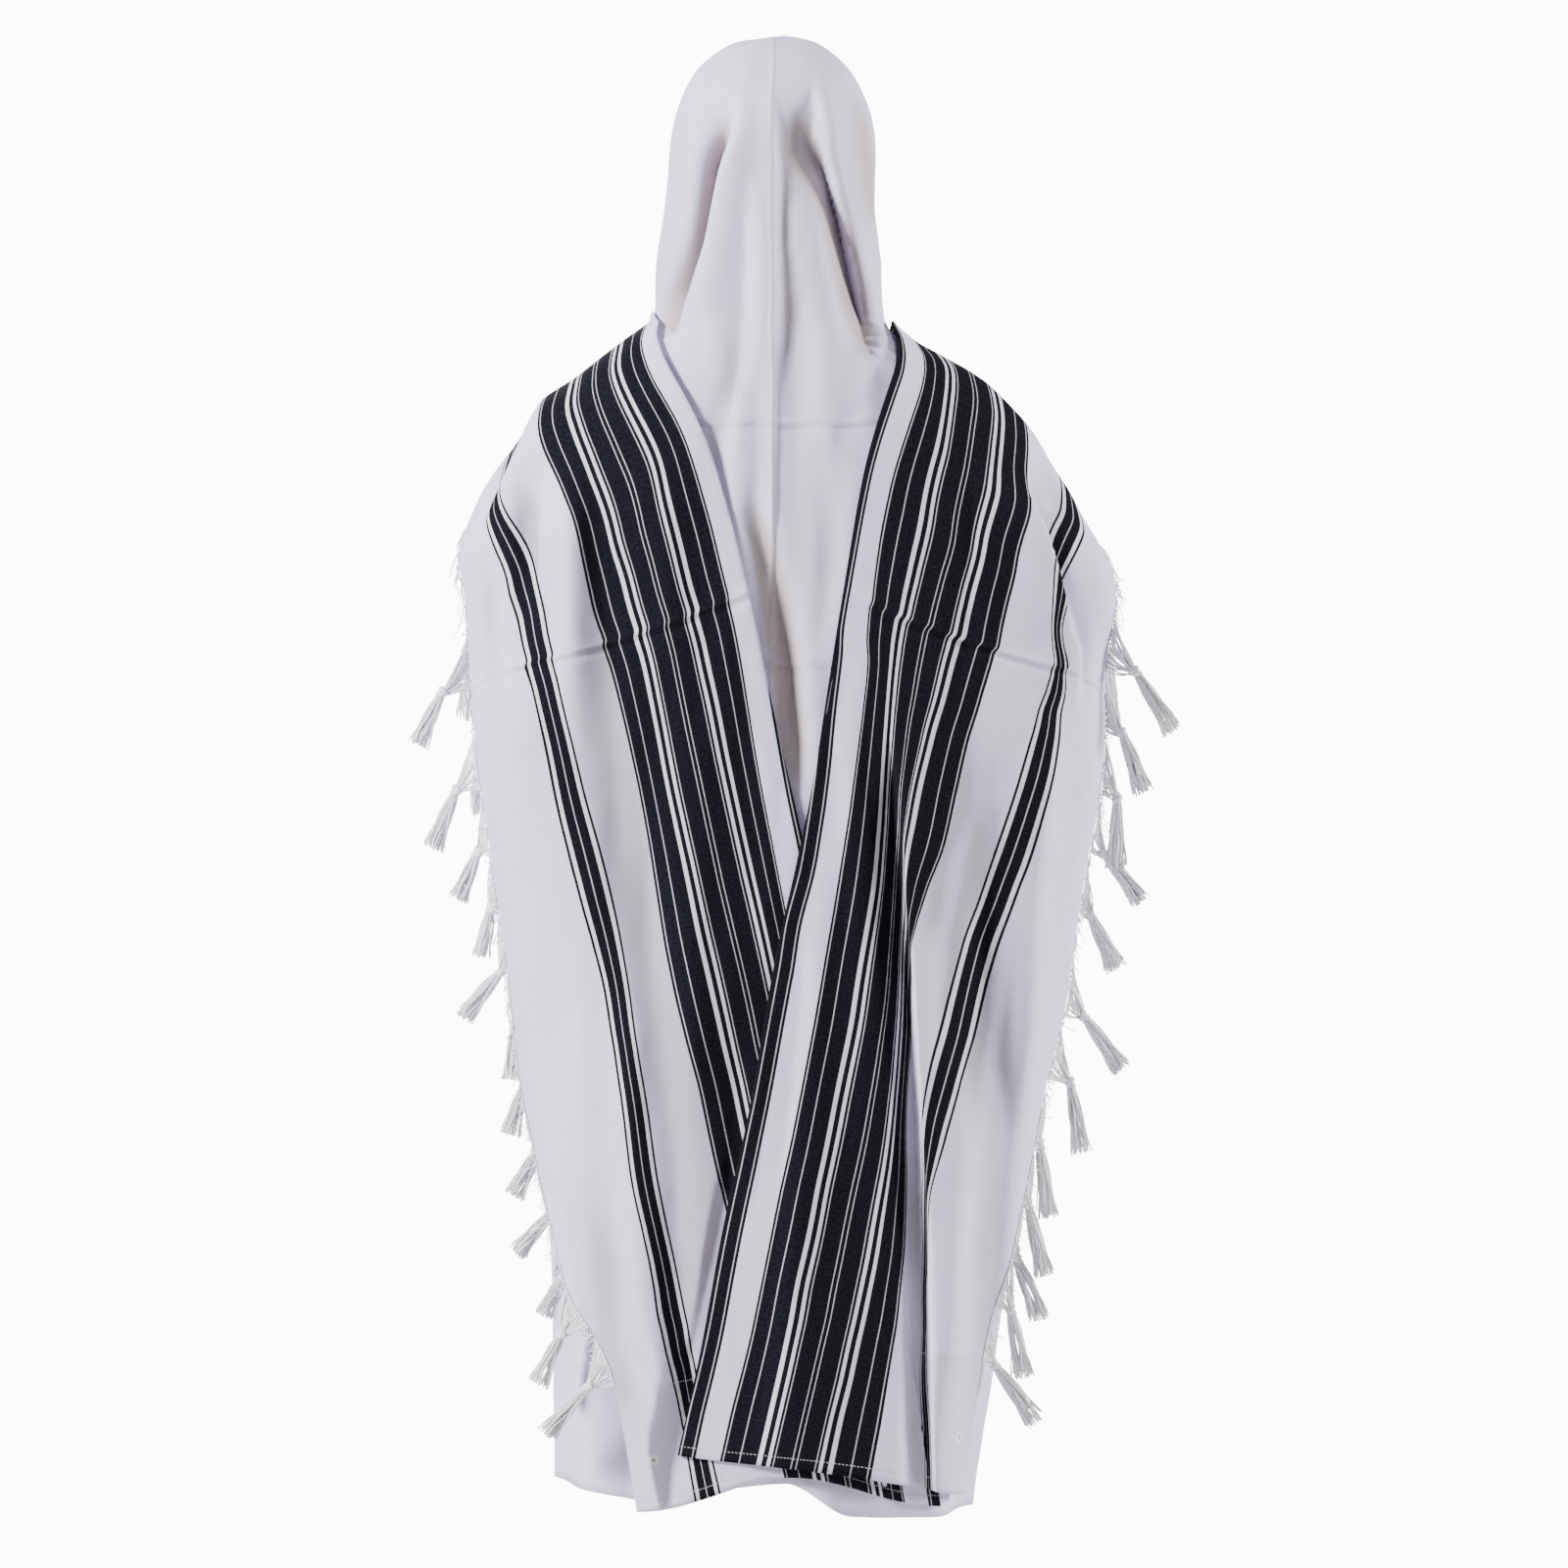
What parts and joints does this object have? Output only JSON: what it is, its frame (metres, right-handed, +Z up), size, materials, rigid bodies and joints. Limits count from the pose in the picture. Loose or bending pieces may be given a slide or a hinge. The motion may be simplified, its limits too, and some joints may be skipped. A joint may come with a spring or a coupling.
{
  "type": "tallit prayer shawl worn over the head",
  "caption": "Striped wool tallit prayer shawl draped over the head, its striped ends thrown back over the shoulders, with knotted tassel fringes.",
  "frame": {"origin": "inside of the hood at the crown, where the head carries the shawl", "axes": "+Z up, +Y the way the wearer faces, +X towards the wearer's right hand side as seen from behind"},
  "size_m": [0.6933, 0.3312, 1.3485],
  "materials": {
    "plain_cloth": "matte off-white wool twill",
    "striped_cloth": "matte off-white wool twill with navy-black woven stripes",
    "fringe_yarn": "soft twisted off-white wool yarn"
  },
  "bodies": {
    "root": {"shawl_hood_and_back": "plain_cloth", "shawl_left_end": "striped_cloth", "shawl_right_end": "striped_cloth", "tassel_left_01": "fringe_yarn", "tassel_left_02": "fringe_yarn", "tassel_left_03": "fringe_yarn", "tassel_left_04": "fringe_yarn", "tassel_left_05": "fringe_yarn", "tassel_left_06": "fringe_yarn", "tassel_left_07": "fringe_yarn", "tassel_left_08": "fringe_yarn", "tassel_left_09": "fringe_yarn", "tassel_left_10": "fringe_yarn", "tassel_left_11": "fringe_yarn", "tassel_left_12": "fringe_yarn", "fringe_left_front": "fringe_yarn", "tassel_right_01": "fringe_yarn", "tassel_right_02": "fringe_yarn", "tassel_right_03": "fringe_yarn", "tassel_right_04": "fringe_yarn", "tassel_right_05": "fringe_yarn", "tassel_right_06": "fringe_yarn", "tassel_right_07": "fringe_yarn", "tassel_right_08": "fringe_yarn", "tassel_right_09": "fringe_yarn", "tassel_right_10": "fringe_yarn", "tassel_right_11": "fringe_yarn", "tassel_right_12": "fringe_yarn", "fringe_right_front": "fringe_yarn"}
  },
  "joints": []
}
